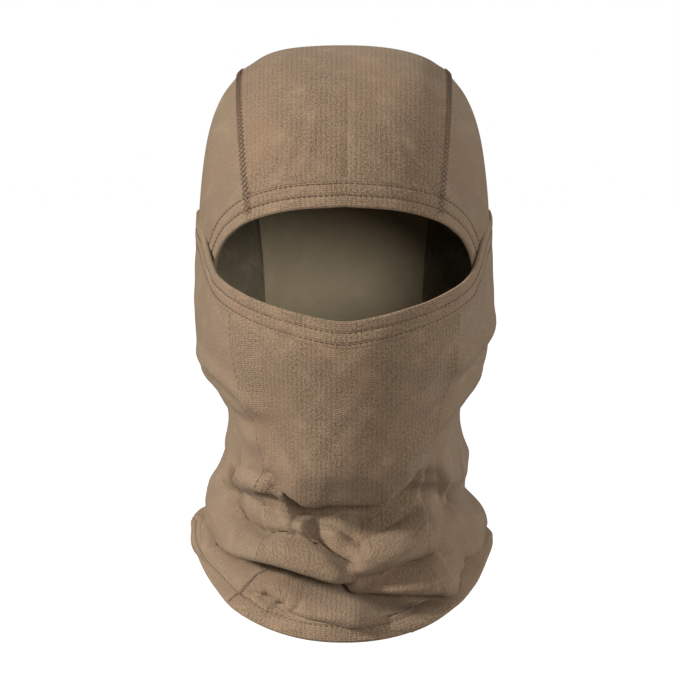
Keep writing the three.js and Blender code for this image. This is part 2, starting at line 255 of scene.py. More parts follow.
# folds hang over a hollow under their line, or over it where turned
folds = [
    {"line": [(-66, -147), (-53, -150.5), (-41, -151), (-29, -153.5), (-22, -156.5), (-15, -159),
              (-3, -163), (7, -166), (23, -168.5), (38, -171.5), (50, -174)],
     "wide": 6, "under": 3.6, "lift": 0, "hollow": 22, "crease": 7, "drop": 0},
    {"line": [(0, -168), (9, -159), (15, -155), (23, -151), (31, -148), (44, -144)],
     "wide": 6, "under": 3, "lift": 0, "hollow": 9, "crease": 4, "drop": 0},
    {"line": [(-84, -100), (-76, -106), (-69, -111), (-62, -119), (-57, -125), (-51, -131), (-45, -135),
              (-39, -137), (-31, -138), (-24, -137), (-17, -133)],
     "wide": 6, "under": 4, "lift": 0, "hollow": 7, "crease": 2, "drop": 0, "turned": True},
    {"line": [(-17, -132), (-11, -137), (-5.6, -142.7), (-1, -148), (4, -155)],
     "wide": 6, "under": 3, "lift": 0, "hollow": 10, "crease": 5, "drop": 0, "turned": True},
    {"line": [(-27, -130), (-20, -126), (-13, -122), (-6, -120), (0, -120), (6, -121.5), (12, -120.5),
              (18, -116.5), (25, -111), (34, -106), (46, -101)],
     "wide": 8, "under": 3.5, "lift": 6.5, "hollow": 9, "crease": 3, "drop": 5},
    {"line": [(-40, -102), (-34, -104), (-23, -111), (-14, -116), (-6, -119)],
     "wide": 4, "under": 4, "lift": 1.6, "hollow": 2, "crease": 1, "drop": 1},
    {"line": [(-33, -169), (-29, -172), (-25, -175), (-20, -174)],
     "wide": 4.5, "under": 3.5, "lift": 1.2, "hollow": 2.4, "crease": 1, "drop": 0.5},
    {"line": [(-25, -174), (-23, -176), (-19, -179), (-14, -176)],
     "wide": 4, "under": 3.5, "lift": 1.8, "hollow": 3, "crease": 1.2, "drop": 1},
    {"line": [(0, -195), (5, -189), (9, -186), (15, -184), (23, -183), (30, -182), (40, -180),
              (54, -174)],
     "wide": 6.5, "under": 3.5, "lift": 4, "hollow": 6, "crease": 1.5, "drop": 4},
    {"line": [(45, -98), (41, -106), (37, -116), (38, -127), (39, -137), (42, -145), (44, -156),
              (50, -172)],
     "wide": 5, "under": 3.5, "lift": 2.2, "hollow": 4, "crease": 2.2, "drop": 0, "turned": True},
    {"line": [(47, -104), (51, -108), (54, -117), (62, -124), (68, -128)],
     "wide": 5, "under": 5, "lift": 2.5, "hollow": 2.5, "crease": 1, "drop": 1},
    {"line": [(66, -112), (70, -122), (84, -126), (110, -116), (140, -104), (160, -98)],
     "wide": 8, "under": 6, "lift": 2, "hollow": 4.5, "crease": 2, "drop": 2},
    {"line": [(56, -160), (66, -156), (80, -152), (96, -146), (120, -134), (144, -124)],
     "wide": 8, "under": 5, "lift": 3.5, "hollow": 4, "crease": 2, "drop": 3},
    {"line": [(140, -98), (165, -93), (192, -97), (222, -92)],
     "wide": 9, "under": 6, "lift": 4, "hollow": 3.5, "crease": 2.5, "drop": 2},
    {"line": [(128, -118), (150, -113), (178, -118), (205, -112), (232, -120)],
     "wide": 8, "under": 6, "lift": 4, "hollow": 4, "crease": 2.5, "drop": 2},
    {"line": [(214, -128), (236, -134), (262, -134)],
     "wide": 7, "under": 5, "lift": 3, "hollow": 3, "crease": 2, "drop": 1},
]
ridges = [
    {"line": [(-42, -107), (-34, -110), (-26, -114), (-20, -118)], "wide": 5, "rise": 4.5},
    {"line": [(-36, -135), (-27, -133), (-18, -130), (-8, -128)], "wide": 6, "rise": 5.5},
    {"line": [(-90, -36), (-76, -43), (-56, -52), (-43, -64), (-27, -73)], "wide": 5, "rise": 3.6},
    {"line": [(-88, -48), (-74, -53), (-54, -66), (-38, -73)], "wide": 4.5, "rise": 3.0},
    {"line": [(-88, -62), (-70, -72), (-50, -84), (-30, -94)], "wide": 7, "rise": 3.4},
    {"line": [(84, -44), (69, -56), (51, -72), (36, -85), (17, -95)], "wide": 6, "rise": 4.6},
    {"line": [(92, -18), (67, -31), (52, -41), (40, -51)], "wide": 5.5, "rise": 3.8},
    {"line": [(92, -30), (74, -44), (61, -53), (50, -62)], "wide": 6, "rise": -4.2},
    {"line": [(96, -60), (76, -70), (58, -82), (44, -92)], "wide": 6, "rise": 3.0},
    {"line": [(-36, -100), (-22, -110), (-4, -113), (12, -110), (26, -100)], "wide": 8, "rise": 3},
    {"line": [(-20, -134), (-8, -132), (4, -136)], "wide": 5, "rise": 2.5},
    {"line": [(-8, -186), (4, -183), (16, -180)], "wide": 4, "rise": 1.2},
    {"line": [(46, -118), (62, -118), (84, -119), (104, -116), (124, -112)], "wide": 11, "rise": -7.5},
    {"line": [(-128, -98), (-108, -101), (-90, -103), (-74, -102)], "wide": 8, "rise": -3},
]


def nearestOnLine(line, angle, height):
    # signed distance from a line and how far along it the nearest place is
    count = folding["linePlaces"]
    knots = np.linspace(0, 1, len(line))
    t = np.linspace(0, 1, count)
    lineAngle = through(list(zip(knots, [p[0] for p in line])))(t)
    lineHeight = through(list(zip(knots, [p[1] for p in line])))(t)
    middle = lineAngle.mean()
    wrapped = (angle - middle + 180) % 360 - 180 + middle
    across = wrapped * degreeWidth
    a = np.stack([lineAngle[:-1] * degreeWidth, lineHeight[:-1]], -1)
    b = np.stack([lineAngle[1:] * degreeWidth, lineHeight[1:]], -1)
    best = np.full(angle.shape, 1e9)
    place = np.zeros(angle.shape)
    for i in range(count - 1):
        step = b[i] - a[i]
        offset = np.stack([across - a[i][0], height - a[i][1]], -1)
        s = clamp((offset @ step) / (step @ step), 0, 1)
        away = offset - s[..., None] * step
        distance = np.hypot(away[..., 0], away[..., 1])
        side = np.where(step[0] * offset[..., 1] - step[1] * offset[..., 0] >= 0, 1, -1)
        closer = distance < np.abs(best)
        best = np.where(closer, distance * side, best)
        place = np.where(closer, (i + s) / (count - 1), place)
    return best, place


# How far the outer layer is drawn in under the jaw, and hugs the hood beside the eyes
jaw = {"pinch": 7.5, "height": -79, "tall": 19, "from": (48, 84), "until": (112, 140),
       "snug": 1.6, "snugAround": (55, 75), "snugAbove": (-25, 10)}


def drawnIn(angle, height):
    away = fromFront(angle)
    around = eased(*jaw["from"], away) * (1 - eased(*jaw["until"], away))
    pinch = jaw["pinch"] * around * np.exp(-((height - jaw["height"]) / jaw["tall"])**2)
    return pinch + jaw["snug"] * eased(*jaw["snugAround"], away) * eased(*jaw["snugAbove"], height)


def rollShift(angle, height):
    # the highest of the rolls at each place, and how far its cloth sags
    sag = np.zeros(angle.shape)
    highest = np.zeros(angle.shape)
    for roll in rolls:
        distance, place = nearestOnLine(roll["line"], angle, height)
        wide = through(roll["wide"])(place)
        ends = np.sqrt(clamp(np.minimum(place, 1 - place) / folding["rollEnd"], 0, 1))
        bulge = np.sqrt(np.maximum(0, 1 - (distance / wide)**2)) * ends
        raised = through(roll["high"])(place) * bulge
        sag = np.where(raised > highest, roll["lean"] * bulge, sag)
        highest = np.maximum(highest, raised)
    return highest, sag


def unevenness(angle, height):
    across = angle * degreeWidth
    return (np.sin(across * 0.19 + height * 0.11) * np.sin(height * 0.23 - across * 0.05)
            + 0.6 * np.sin(across * 0.37 - height * 0.29 + 1))


def foldShift(angle, height):
    # how far the outer layer stands out, and how far it sags, at each place
    outward, drop = rollShift(angle, height)
    slack = (eased(*folding["recessBelow"], height) * (1 - eased(*folding["recessAbove"], height))
             * (1 - eased(*folding["recessAround"], fromFront(angle))))
    outward = outward - folding["recess"] * slack + folding["waves"] * unevenness(angle, height)
    for fold in folds:
        lineHeight = height - folding["lipFollows"] * fold["drop"]
        distance, place = nearestOnLine(fold["line"], angle, lineHeight)
        if fold.get("turned"):
            distance = -distance
        end = folding["foldEnd"]
        taper = eased(0, end, place) * (1 - eased(1 - end, 1, place))
        x = distance / fold["wide"]
        above = np.where(x > 0, x * np.exp(1 - np.maximum(x, 0)), 0)
        under = np.minimum(distance / fold["under"], 0)
        below = -under * np.exp(1 + under)
        crease = np.exp(-(distance / folding["creaseWide"])**2)
        outward += taper * (fold["lift"] * above - fold["hollow"] * below - fold["crease"] * crease)
        top = np.exp(-((x - folding["foldTop"]) / folding["foldTopWide"])**2)
        drop += taper * fold["drop"] * top
    for ridge in ridges:
        distance, place = nearestOnLine(ridge["line"], angle, height)
        end = folding["ridgeEnd"]
        taper = eased(0, end, place) * (1 - eased(1 - end, 1, place))
        outward += taper * ridge["rise"] * np.exp(-(distance / ridge["wide"])**2)
    return outward, drop


# Where the outer layer lies flat: at its sewn rear edge and, mostly, next to the neck hem
calming = {"angle": 0.4, "rear": (90, 101), "neck": (0, 12), "hem": (0, 9), "hemShare": 0.25}


def outerPoint(angle, height):
    angle, height = np.broadcast_arrays(np.asarray(angle, float), np.asarray(height, float))
    base = outerBase(angle, height)
    small = calming["angle"]
    alongAngle = outerBase(angle + small, height) - outerBase(angle - small, height)
    alongHeight = outerBase(angle, height + small) - outerBase(angle, height - small)
    normal = unit(np.cross(alongAngle, alongHeight))
    outward, drop = foldShift(angle, height)
    below = outer["neckStart"] + outer["neckSlope"] * base[..., 1] - height
    onMask = 1 - eased(*calming["rear"], fromFront(angle))
    onNeck = mixed(onMask, 1, eased(*calming["neck"], below))
    sewn = np.where(below > 0, onNeck, onMask)
    nearHem = 1 - eased(*calming["hem"], height - neckEdge(angle))
    calm = (1 - nearHem * (1 - calming["hemShare"])) * sewn
    shifted = base + normal * (outward * calm - drawnIn(angle, height))[..., None]
    shifted[..., 2] -= drop * calm
    return shifted


print("mesh tools")
slotOf = {"outside": 0, "inside": 1, "sides": 2}
# heights between which the middle of the head and neck is looked for
core = {"low": -200, "high": 30}


def newMesh(name, points, quads, caps=(), uvs=None, slots=None):
    mesh = bpy.data.meshes.new(name)
    mesh.from_pydata((points * toMetres).tolist(), [], quads.tolist() + list(caps))
    if slots is not None:
        mesh.polygons.foreach_set("material_index", slots.astype(np.int32))
    if uvs is not None:
        layer = mesh.uv_layers.new(name="knit")
        layer.data.foreach_set("uv", uvs[quads.ravel()].astype(np.float32).ravel())
    mesh.polygons.foreach_set("use_smooth", np.ones(len(mesh.polygons), bool))
    mesh.update()
    thing = bpy.data.objects.new(name, mesh)
    bpy.context.scene.collection.objects.link(thing)
    return thing


def gridNormals(points, ring):
    # unit normals of a grid of places, facing away from the middle of the head and neck
    if ring:
        wrapped = np.concatenate([points[-2:-1], points, points[1:2]], 0)
        alongU = wrapped[2:] - wrapped[:-2]
    else:
        alongU = np.gradient(points, axis=0)
    alongV = np.gradient(points, axis=1)
    normal = unit(np.cross(alongU, alongV))
    middle = points * np.array([0, 0, 1])
    middle[..., 2] = clamp(middle[..., 2], core["low"], core["high"])
    facing = np.sum(normal * (points - middle))
    return normal if facing > 0 else -normal


def arcLengths(points, axis):
    steps = np.linalg.norm(np.diff(points, axis=axis), axis=-1)
    total = np.cumsum(steps, axis=axis)
    zeros = np.zeros_like(np.take(total, [0], axis=axis))
    return np.concatenate([zeros, total], axis=axis)


def closeEnds(thing, rings):
    # caps the given rings of points and turns all the faces outwards
    work = bmesh.new()
    work.from_mesh(thing.data)
    work.verts.ensure_lookup_table()
    for ring in rings:
        work.faces.new([work.verts[i] for i in ring])
    bmesh.ops.recalc_face_normals(work, faces=work.faces)
    work.to_mesh(thing.data)
    work.free()


def addMaterials(thing, materials):
    for material in materials:
        thing.data.materials.append(material)


def section(name, place, cells, profile, materials, sides, ring=False):
    # A strip of cloth: place(u, v) is the surface that it lies on, and the profile is a loop of
    # (v, height over the surface, whether inside the fold) places, swept along u. sides(u) says
    # where the strip is made of the smooth knit.
    v, lift, inner = (np.array([p[i] for p in profile], float) for i in range(3))
    levels = np.unique(v)
    surface = place(*np.meshgrid(np.linspace(0, 1, cells + 1), levels, indexing="ij"))
    normal = gridNormals(surface, ring)
    column = np.searchsorted(levels, v)
    points = surface[:, column] + normal[:, column] * lift[:, None]
    uv = np.stack([arcLengths(surface, 0), arcLengths(surface, 1)], -1)[:, column] * toMetres
    uv[..., 0] -= uv[cells // 2, :, 0].copy()
    rows = cells if ring else cells + 1
    count = len(profile)
    i, k = np.meshgrid(np.arange(cells), np.arange(count), indexing="ij")
    following = (i + 1) % rows
    nextK = (k + 1) % count
    quads = np.stack([i * count + k, following * count + k, following * count + nextK,
                      i * count + nextK], -1).reshape(-1, 4)
    outside = np.where(sides((i + 0.5) / cells), slotOf["sides"], slotOf["outside"])
    slots = np.where(inner[k] + inner[nextK] > 1, slotOf["inside"], outside).reshape(-1)
    thing = newMesh(name + "_knit", points[:rows].reshape(-1, 3), quads,
                    uvs=uv[:rows].reshape(-1, 2), slots=slots)
    starts = () if ring else (0, cells * count)
    closeEnds(thing, [range(start, start + count) for start in starts])
    addMaterials(thing, materials)
    return thing


def sheetFaces(across, along, layer):
    # the outer side, the inner side and the four cut edges of a sheet
    columns = along + 1
    i, j = np.meshgrid(np.arange(across), np.arange(along), indexing="ij")
    a = (i * columns + j).reshape(-1)
    front = np.stack([a, a + columns, a + columns + 1, a + 1], -1)
    j = np.arange(along)
    i = np.arange(across) * columns
    last = across * columns + j
    end = i + along
    rims = [
        np.stack([j, j + 1, j + 1 + layer, j + layer], -1),
        np.stack([last + 1, last, last + layer, last + 1 + layer], -1),
        np.stack([i + columns, i, i + layer, i + columns + layer], -1),
        np.stack([end, end + columns, end + columns + layer, end + layer], -1),
    ]
    return front, front[:, ::-1] + layer, np.concatenate(rims)


def sharpRims(mesh, rims):
    # the cut edges of a sheet don't round off its shading
    borders = np.sort(np.concatenate([rims[:, :2], rims[:, 2:]]), -1)
    rim = set(map(tuple, borders.tolist()))
    sharp = [tuple(sorted(edge.vertices)) in rim for edge in mesh.edges]
    attribute = mesh.attributes.new("sharp_edge", "BOOLEAN", "EDGE")
    attribute.data.foreach_set("value", sharp)


def panel(name, place, cells, materials, grow=None):
    # a single layer of knit over place(u, v), closed at its edges, and shifted by grow
    across, along = cells
    u, v = np.meshgrid(np.linspace(0, 1, across + 1), np.linspace(0, 1, along + 1), indexing="ij")
    surface = place(u, v)
    normal = gridNormals(surface, False)
    shift = np.zeros(u.shape) if grow is None else grow(v, surface)
    top = surface + normal * (shift + cloth["thick"])[..., None]
    under = surface + normal * shift[..., None]
    lengthU = arcLengths(top, 0)
    uv = np.stack([lengthU - lengthU[across // 2], arcLengths(top, 1)], -1) * toMetres
    flatUv = uv.reshape(-1, 2)
    points = np.concatenate([top.reshape(-1, 3), under.reshape(-1, 3)])
    front, back, rims = sheetFaces(across, along, u.size)
    facing = np.cross(points[front[:, 1]] - points[front[:, 0]],
                      points[front[:, 3]] - points[front[:, 0]])
    quads = np.concatenate([front, back, rims])
    if np.sum(facing * normal[:-1, :-1].reshape(-1, 3)) < 0:
        quads = quads[:, ::-1]
    slots = np.repeat([slotOf["outside"], slotOf["inside"], slotOf["outside"]],
                      [len(front), len(back), len(rims)])
    thing = newMesh(name + "_knit", points, quads, uvs=np.concatenate([flatUv, flatUv]),
                    slots=slots)
    sharpRims(thing.data, rims)
    addMaterials(thing, materials)
    return thing


thread = {"sides": 6, "places": 5, "slimEnd": 0.55, "firstDash": 0.3, "arch": 0.25, "over": 0.12}


def threads(name, lines, normals, radius, material):
    # short lengths of thread: lines and normals are (count, places, 3)
    count, places, _ = lines.shape
    sides = thread["sides"]
    along = unit(np.gradient(lines, axis=1))
    binormal = unit(np.cross(along, normals))
    upright = unit(np.cross(binormal, along))
    slim = np.ones(places)
    slim[[0, -1]] = thread["slimEnd"]
    turn = np.linspace(0, 2 * math.pi, sides, endpoint=False)[:, None]
    ring = np.cos(turn) * binormal[:, :, None] + np.sin(turn) * upright[:, :, None]
    points = lines[:, :, None] + ring * (radius * slim)[:, None, None]
    start = np.arange(count)[:, None, None] * places * sides
    i = np.arange(places - 1)[:, None] * sides
    k = np.arange(sides)
    nextK = (k + 1) % sides
    quads = np.stack([start + i + k, start + i + nextK, start + i + sides + nextK,
                      start + i + sides + k], -1).reshape(-1, 4)
    first = start[:, 0]
    caps = np.concatenate([first + k[::-1], first + (places - 1) * sides + k])
    thing = newMesh(name + "_thread", points.reshape(-1, 3), quads, caps.tolist())
    addMaterials(thing, (material,))
    return thing


def readAlong(length, values, at):
    return np.stack([np.interp(at, length, values[:, k]) for k in range(3)], -1)


def dashes(path, normals, pitch, fill, sink):
    # running stitches along a path, each dipping into the cloth at both ends
    length = arcLengths(path, 0)
    starts = np.arange(pitch * thread["firstDash"], length[-1] - pitch, pitch)
    t = np.linspace(0, 1, thread["places"])
    at = starts[:, None] + t * pitch * fill
    up = unit(readAlong(length, normals, at))
    dip = -sink * (np.abs(t - 0.5) * 2)**3
    return readAlong(length, path, at) + up * dip[:, None], up


def zigzags(path, normals, pitch, half):
    # a flatlock: two sets of threads, which cross each other from side to side
    length = arcLengths(path, 0)
    starts = np.arange(pitch, length[-1] - pitch, pitch)
    t = np.linspace(0, 1, thread["places"])
    at = starts[:, None] + t * pitch
    centre = readAlong(length, path, at)
    sideways = readAlong(length, unit(np.cross(unit(np.gradient(path, axis=0)), normals)), at)
    up = unit(readAlong(length, normals, at))
    crossings = []
    for slant in (1, -1):
        across = slant * half * (t * 2 - 1)
        lift = thread["arch"] * (1 - (t * 2 - 1)**2) + thread["over"] * slant
        crossings.append(centre + sideways * across[:, None] + up * lift[:, None])
    return np.concatenate(crossings), np.concatenate([up, up])


print("materials")


class Wire:
    # a shader value that can be written in an expression
    def __init__(self, shader, made, output):
        self.shader = shader
        self.made = made
        self.socket = made.outputs[output]

    def output(self, number):
        # another output of the node that this value comes from
        return Wire(self.shader, self.made, number)

    def math(self, operation, *values):
        return self.shader.node("ShaderNodeMath", {"operation": operation}, values)

    def __add__(self, other):
        return self.math("ADD", self, other)

    __radd__ = __add__

    def __mul__(self, other):
        return self.math("MULTIPLY", self, other)

    __rmul__ = __mul__

    def __sub__(self, other):
        return self.math("SUBTRACT", self, other)

    def __rsub__(self, other):
        return self.math("SUBTRACT", other, self)

    def sine(self):
        return self.math("SINE", self)

    def size(self):
        return self.math("ABSOLUTE", self)

    def between(self, low, high):
        settings = {"interpolation_type": "SMOOTHSTEP"}
        return self.shader.node("ShaderNodeMapRange", settings, (self, low, high))


class Shader:
    # the nodes of a material or of the world
    def __init__(self, owner):
        owner.use_nodes = True
        self.tree = owner.node_tree

    def node(self, kind, settings=None, inputs=(), output=0):
        made = self.tree.nodes.new(kind)
        for key, value in (settings or {}).items():
            setattr(made, key, value)
        items = inputs.items() if isinstance(inputs, dict) else enumerate(inputs)
        for key, value in items:
            self.join(value, made.inputs[key])
        return Wire(self, made, output)

    def join(self, value, socket):
        if isinstance(value, Wire):
            self.tree.links.new(value.socket, socket)
        else:
            socket.default_value = value

    def blend(self, factor, a, b):
        a, b = (colour if isinstance(colour, Wire) else (*colour, 1) for colour in (a, b))
        return self.node("ShaderNodeMix", {"data_type": "RGBA"}, {0: factor, 6: a, 7: b}, 2)

    def noise(self, vector, scale, detail=2, rough=0.5):
        return self.node("ShaderNodeTexNoise", {}, {"Vector": vector, "Scale": scale,
                                                    "Detail": detail, "Roughness": rough})

    def bump(self, strength, depth, height):
        return self.node("ShaderNodeBump", {}, {"Strength": strength, "Distance": depth,
                                                "Height": height})


def times(colour, amount):
    return tuple(c * amount for c in colour)


brown = (0.365, 0.254, 0.160)
olive = (0.370, 0.300, 0.192)
# painted shade: a dark colour for the inner faces of the smooth side panels, standing in for the shadow
# inside the hood
shade = (0.165, 0.136, 0.083)
finishes = {
    "meshKnit": {"colour": brown, "hollow": (0.100, 0.062, 0.036), "meshed": True,
                 "depth": 0.00025, "grain": 0.9, "worn": 1.12},
    "hemKnit": {"colour": times(brown, 1.04), "hollow": (0.100, 0.062, 0.036), "meshed": True,
                "depth": 0.00025, "grain": 0.9, "worn": 1.12},
    "jerseyKnit": {"colour": (0.345, 0.245, 0.160), "hollow": (0.170, 0.112, 0.066),
                   "meshed": False, "depth": 0.0002, "grain": 0.85, "worn": 1.12},
    "insideKnit": {"colour": olive, "hollow": times(olive, 0.6), "meshed": False,
                   "depth": 0.00012, "grain": 0.25, "worn": 1.12},
    # inner faces of the hood and mask side panels: painted shade, darkened for the shadow inside the
    # hood
    "shadedInsideSideKnit": {"colour": shade, "hollow": times(shade, 0.4), "meshed": False,
                       "depth": 0.0002, "grain": 0.4, "worn": 1.9},
}
knit = {
    "meshed": {"wale": 0.00140, "course": 0.00125},
    "plain": {"wale": 0.00095, "course": 0.0011},
    "roughness": 0.82,
    "roughLoops": 0.1,
    "fleckScale": 900,
    "fleckShape": (1.25, 0.8, 1),
    "fleckShare": 0.7,
    "wobbleScale": 700,
    "wobble": 2.4,
    "wearScale": 60,
    "wearShare": 0.5,
    "tintScale": 16,
    "tintShare": 0.4,
    "tint": (0.86, 0.74, 0.70),
    "sheen": 0.2,
    "sheenRoughness": 0.5,
    "sheenTint": (0.80, 0.66, 0.50, 1),
    "shine": 0.2,
}


def eyelets(shader, place, column, row):
    # the little holes of the mesh knit, in slightly uneven rows
    wobble = shader.noise(place, knit["wobbleScale"], 1) * knit["wobble"]
    holes = (column * 0.5 + wobble).sine() * 0.4 + (row + wobble).sine() * 0.6
    return (holes * 0.5 + 0.5).between(0.15, 0.85)


def loops(column, row):
    # the slanting loops of the smooth jersey
    slant = (row * 0.5).sine().size() * 1.1
    waves = (column + slant).sine() * 0.7 + row.sine() * 0.3
    return (waves * 0.5 + 0.5).between(0.1, 0.9)


def knitMaterial(name):
    finish = finishes[name]
    colour = finish["colour"]
    material = bpy.data.materials.new(name)
    shader = Shader(material)
    surface = shader.tree.nodes["Principled BSDF"].inputs
    place = shader.node("ShaderNodeUVMap", {"uv_map": "knit"})
    across = shader.node("ShaderNodeSeparateXYZ", {}, (place,))
    pitch = knit["meshed" if finish["meshed"] else "plain"]
    column = across * (2 * math.pi / pitch["wale"])
    row = across.output(1) * (2 * math.pi / pitch["course"])
    cell = eyelets(shader, place, column, row) if finish["meshed"] else loops(column, row)
    narrow = shader.node("ShaderNodeVectorMath", {"operation": "MULTIPLY"},
                         (place, knit["fleckShape"]))
    flecks = shader.noise(narrow, knit["fleckScale"], 2, 0.6).between(0.30, 0.70)
    grain = finish["grain"]
    raised = cell * ((1 - knit["fleckShare"]) * grain) + flecks * (knit["fleckShare"] * grain)
    base = shader.blend(grain - raised, colour, finish["hollow"])
    wear = shader.noise(place, knit["wearScale"], 4, 0.6).between(0.45, 0.75)
    washed = shader.blend(wear * knit["wearShare"], base, times(colour, finish["worn"]))
    patches = shader.noise(place, knit["tintScale"], 2).between(0.42, 0.72)
    tint = tuple(c * t for c, t in zip(colour, knit["tint"]))
    shader.join(shader.blend(patches * knit["tintShare"], washed, tint), surface["Base Color"])
    shader.join(flecks * knit["roughLoops"] + knit["roughness"], surface["Roughness"])
    shader.join(shader.bump(1.0, finish["depth"], cell * 0.8 + flecks * 0.7), surface["Normal"])
    surface["Sheen Weight"].default_value = knit["sheen"]
    surface["Sheen Roughness"].default_value = knit["sheenRoughness"]
    surface["Sheen Tint"].default_value = knit["sheenTint"]
    surface["Specular IOR Level"].default_value = knit["shine"]
    return material


threadLook = {
    "brownThread": {"dark": (0.100, 0.060, 0.038), "pale": (0.180, 0.115, 0.074)},
    "tonedThread": {"dark": (0.165, 0.110, 0.070), "pale": (0.270, 0.190, 0.122)},
    "plyScale": 1800,
    "plyDepth": 0.0002,
    "shine": 0.35,
}


def threadMaterial(name):
    look = threadLook[name]
    material = bpy.data.materials.new(name)
    shader = Shader(material)
    surface = shader.tree.nodes["Principled BSDF"].inputs
    place = shader.node("ShaderNodeTexCoord").output(3)
    ply = shader.noise(place, threadLook["plyScale"])
    shader.join(shader.blend(ply.between(0.3, 0.7), look["dark"], look["pale"]),
                surface["Base Color"])
    shader.join(ply * 0.2 + 0.55, surface["Roughness"])
    shader.join(shader.bump(0.6, threadLook["plyDepth"], ply), surface["Normal"])
    surface["Specular IOR Level"].default_value = threadLook["shine"]
    return material


meshKnit = knitMaterial("meshKnit")
hemKnit = knitMaterial("hemKnit")
jerseyKnit = knitMaterial("jerseyKnit")
insideKnit = knitMaterial("insideKnit")
# painted shade on the inner faces of the hood and mask side panels
shadedInsideSide = knitMaterial("shadedInsideSideKnit")
brownThread = threadMaterial("brownThread")
tonedThread = threadMaterial("tonedThread")
spacing = 1.5


def cellsFor(millimetres):
    return int(millimetres / spacing)


print("hood panels")
crown = {
    "wide": 118,
    "long": 400,
    "napeDepth": 68,
    "underNeck": 5,
    "frontTuck": 1.2,
    "footIn": 0.8,
    "ridge": {"high": 0.9, "wide": 3.4},
    "front": 0.22,
    "crease": {"deep": 0.8, "wide": 1.6, "from": 1.5, "lean": 6},
    # side, lean and place of each pucker behind the brow
    "puckers": [(-1, 0.5, 34), (-1, 0.8, 44), (1, 0.55, 36), (1, 0.75, 46), (-1, 0.3, 22)],
    "pucker": {"high": 0.7, "wide": 3.2, "lean": 190, "starts": 0.03},
    "sway": {"high": 0.7, "from": (4, 14)},
    "flat": (0.116, 0.385),
}
napeLine = -(outer["neckStart"] + outer["neckSlope"] * crown["napeDepth"])
crownEnd = 180 + (napeLine + crown["underNeck"]) / hood["backStep"]
browEdge = {"places": 1201, "depth": -80.0, "rounds": 30, "step": 0.5, "sideStep": 0.35,
            "seams": (0.22, 0.78)}


def findBrowLine():
    # the edge of the face opening, on the hood, from cheek to cheek over the brow
    t = np.linspace(-1, 1, browEdge["places"])
    x = hood["edgeX"](np.abs(t)) * np.sign(t)
    z = hood["edgeZ"](np.abs(t))
    y = np.full(t.shape, browEdge["depth"])
    for _ in range(browEdge["rounds"]):
        found = onHood(np.stack([x, y, z], -1))
        tooWide = np.abs(found[:, 0]) - np.abs(x)
        y = y + (found[:, 1] - y) * browEdge["step"] - browEdge["sideStep"] * tooWide
    return onHood(np.stack([x, y, z], -1))


def awayFromOpening(line):
    tangent = unit(np.gradient(line, axis=0))
    away = unit(np.cross(tangent, unit(line)))
    upOrBack = np.sum(away * np.array([0, 0.7, 1]), -1, keepdims=True)
    return away * np.where(upOrBack < 0, -1, 1)


browLine = findBrowLine()
browAway = awayFromOpening(browLine)


def browPoint(along, inward):
    along, inward = np.broadcast_arrays(np.asarray(along, float), np.asarray(inward, float))
    t = np.linspace(0, 1, len(browLine))
    edge = readAlong(t, browLine, along)
    away = readAlong(t, browAway, along)
    return onHood(edge + away * inward[..., None])


def stationOf(points):
    return np.degrees(np.arctan2(points[:, 2], -points[:, 1]))


browAlong = np.linspace(*browEdge["seams"], 401)
browTuck = browPoint(browAlong, cloth["browHem"] - crown["frontTuck"])


def stationAtBrow(x):
    return np.interp(x, browTuck[:, 0], stationOf(browTuck))


def alongAtBrow(x):
    return np.interp(x, browTuck[:, 0], browAlong)


def seamFootStation():
    # where the crown seam meets the edge of the brow hem
    quarter = len(browLine) // 4
    upper = browLine[quarter:3 * quarter + 1]
    foot = np.interp(hood["panelHalf"](25), upper[:, 0], stationOf(upper))
    return float(foot) + crown["footIn"]


seamStart = float(stationAtBrow(hood["panelHalf"](25)))
seamFoot = seamFootStation()


def crownPlace(u, v):
    across = u * 2 - 1
    station = mixed(stationAtBrow(across * hood["panelHalf"](seamStart)), crownEnd, v)
    half = hood["panelHalf"](mixed(seamStart, crownEnd, v))
    return hoodPoint(across * half, station)


def seamRidge(distance):
    return crown["ridge"]["high"] * np.exp(-(distance / crown["ridge"]["wide"])**2)


def crownGrow(v, surface):
    # the raised seams, the centre crease, the puckers behind the brow and a slow sway
    x = surface[..., 0]
    fromSeam = hood["panelHalf"](mixed(seamStart, crownEnd, v)) - np.abs(x)
    front = 1 - eased(0, crown["front"], v)
    crease, pucker, sway = crown["crease"], crown["pucker"], crown["sway"]
    middle = crease["from"] + v * crease["lean"]
    shift = -crease["deep"] * np.exp(-((x - middle) / crease["wide"])**2) * front
    for side, lean, place in crown["puckers"]:
        centre = side * (place - lean * v * pucker["lean"])
        bump = np.exp(-((x - centre) / pucker["wide"])**2)
        shift += pucker["high"] * bump * front * eased(0, pucker["starts"], v)
    waves = np.sin(x * 0.09 + v * 7) * np.sin(v * 21 + x * 0.02)
    shift += sway["high"] * waves * eased(*sway["from"], fromSeam)
    return shift + seamRidge(fromSeam)


def addCrownPanel():
    cells = (cellsFor(crown["wide"]), cellsFor(crown["long"]))
    piece = panel("crown_panel", crownPlace, cells, (meshKnit, insideKnit), crownGrow)
    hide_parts("crown_panel")
    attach(piece, "hood")


hoodSide = {
    "cells": 190,
    "lowerZ": through([(-44, -62), (-20, -72), (5, -94), (15, -96), (40, -89), (70, -82)]),
    "lowerX": (66, 44),
    "seamSlope": 0.62,
    "sway": {"high": 0.6, "from": (4, 16)},
    "rumple": {"high": 1.5, "behind": (32, 60), "below": (30, 75)},
    "covered": {"deep": 2.5, "height": -80, "tall": 26, "until": (6, 20)},
    "pinchUntil": (24, 60),
    "flat": (0.180, 0.215),
    "area": 0.0270,
}


